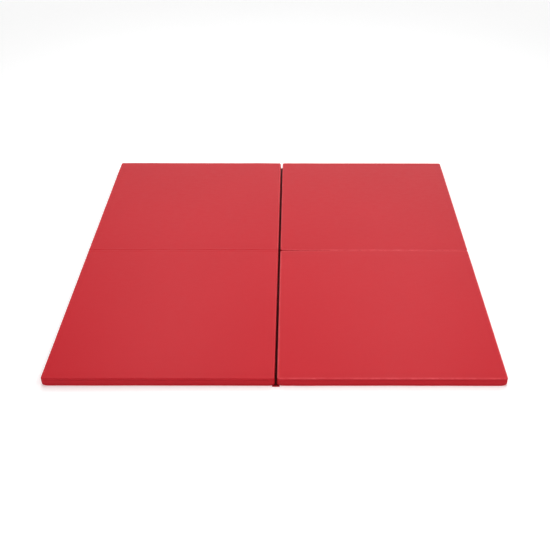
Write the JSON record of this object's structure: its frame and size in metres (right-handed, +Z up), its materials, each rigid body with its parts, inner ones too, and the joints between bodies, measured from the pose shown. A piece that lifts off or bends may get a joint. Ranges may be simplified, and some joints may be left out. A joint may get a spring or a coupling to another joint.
{
  "type": "folding gym mat",
  "caption": "Folding gym mat of four square vinyl-covered foam panels, hinged in a chain so that they stack, with a zip in each outer wall.",
  "frame": {"origin": "middle of the unfolded mat, on the floor that it lies on", "axes": "+Z up through the thickness, -Y the front edge, +X the right edge"},
  "size_m": [1.22, 1.227, 0.027],
  "materials": {
    "cover_vinyl": "satin, fine grain",
    "hinge_vinyl": "satin",
    "foam": "closed-cell foam",
    "zip_tape": "woven",
    "zip_coil": "satin nylon",
    "zip_metal": "satin"
  },
  "bodies": {
    "front_left_panel": {"front_left_foam_core": "foam", "front_left_top_sheet": "cover_vinyl", "front_left_base_sheet": "cover_vinyl", "front_left_side_band": "cover_vinyl", "front_left_zip_band": "cover_vinyl", "front_left_zip_tape_upper": "zip_tape", "front_left_zip_tape_lower": "zip_tape", "front_left_zip_coil_upper": "zip_coil", "front_left_zip_coil_lower": "zip_coil", "front_left_zip_end_stop": "zip_metal", "centre_front_hinge_strip": "hinge_vinyl", "cross_left_hinge_strip": "hinge_vinyl"},
    "front_right_panel": {"front_right_foam_core": "foam", "front_right_top_sheet": "cover_vinyl", "front_right_base_sheet": "cover_vinyl", "front_right_side_band": "cover_vinyl", "front_right_zip_band": "cover_vinyl", "front_right_zip_tape_upper": "zip_tape", "front_right_zip_tape_lower": "zip_tape", "front_right_zip_coil_upper": "zip_coil", "front_right_zip_coil_lower": "zip_coil", "front_right_zip_end_stop": "zip_metal"},
    "back_left_panel": {"back_left_foam_core": "foam", "back_left_top_sheet": "cover_vinyl", "back_left_base_sheet": "cover_vinyl", "back_left_side_band": "cover_vinyl", "back_left_zip_band": "cover_vinyl", "back_left_zip_tape_upper": "zip_tape", "back_left_zip_tape_lower": "zip_tape", "back_left_zip_coil_upper": "zip_coil", "back_left_zip_coil_lower": "zip_coil", "back_left_zip_end_stop": "zip_metal", "centre_back_hinge_strip": "hinge_vinyl"},
    "back_right_panel": {"back_right_foam_core": "foam", "back_right_top_sheet": "cover_vinyl", "back_right_base_sheet": "cover_vinyl", "back_right_side_band": "cover_vinyl", "back_right_zip_band": "cover_vinyl", "back_right_zip_tape_upper": "zip_tape", "back_right_zip_tape_lower": "zip_tape", "back_right_zip_coil_upper": "zip_coil", "back_right_zip_coil_lower": "zip_coil", "back_right_zip_end_stop": "zip_metal"},
    "front_left_slider": {"front_left_zip_slider": "zip_metal"},
    "front_right_slider": {"front_right_zip_slider": "zip_metal"},
    "back_left_slider": {"back_left_zip_slider": "zip_metal"},
    "back_right_slider": {"back_right_zip_slider": "zip_metal"}
  },
  "joints": [
    {"name": "centre_front_fold", "type": "hinge", "parent": "front_left_panel", "child": "front_right_panel", "pos_m": [0.0033, -0.305, -0.00025], "axis": [0, 1, 0], "range_deg": [0, 180], "deforming": ["centre_front_hinge_strip"]},
    {"name": "cross_left_fold", "type": "hinge", "parent": "front_left_panel", "child": "back_left_panel", "pos_m": [-0.305, 0, 0.02725], "axis": [1, 0, 0], "range_deg": [0, 180], "deforming": ["cross_left_hinge_strip"]},
    {"name": "centre_back_fold", "type": "hinge", "parent": "back_left_panel", "child": "back_right_panel", "pos_m": [0.0033, 0.305, -0.00025], "axis": [0, 1, 0], "range_deg": [0, 180], "deforming": ["centre_back_hinge_strip"]},
    {"name": "front_left_zip_slide", "type": "slide", "parent": "front_left_panel", "child": "front_left_slider", "axis": [0, 1, 0], "range_m": [0, 0.48]},
    {"name": "front_right_zip_slide", "type": "slide", "parent": "front_right_panel", "child": "front_right_slider", "axis": [0, 1, 0], "range_m": [0, 0.48]},
    {"name": "back_left_zip_slide", "type": "slide", "parent": "back_left_panel", "child": "back_left_slider", "axis": [0, -1, 0], "range_m": [0, 0.48]},
    {"name": "back_right_zip_slide", "type": "slide", "parent": "back_right_panel", "child": "back_right_slider", "axis": [0, -1, 0], "range_m": [0, 0.48]}
  ]
}
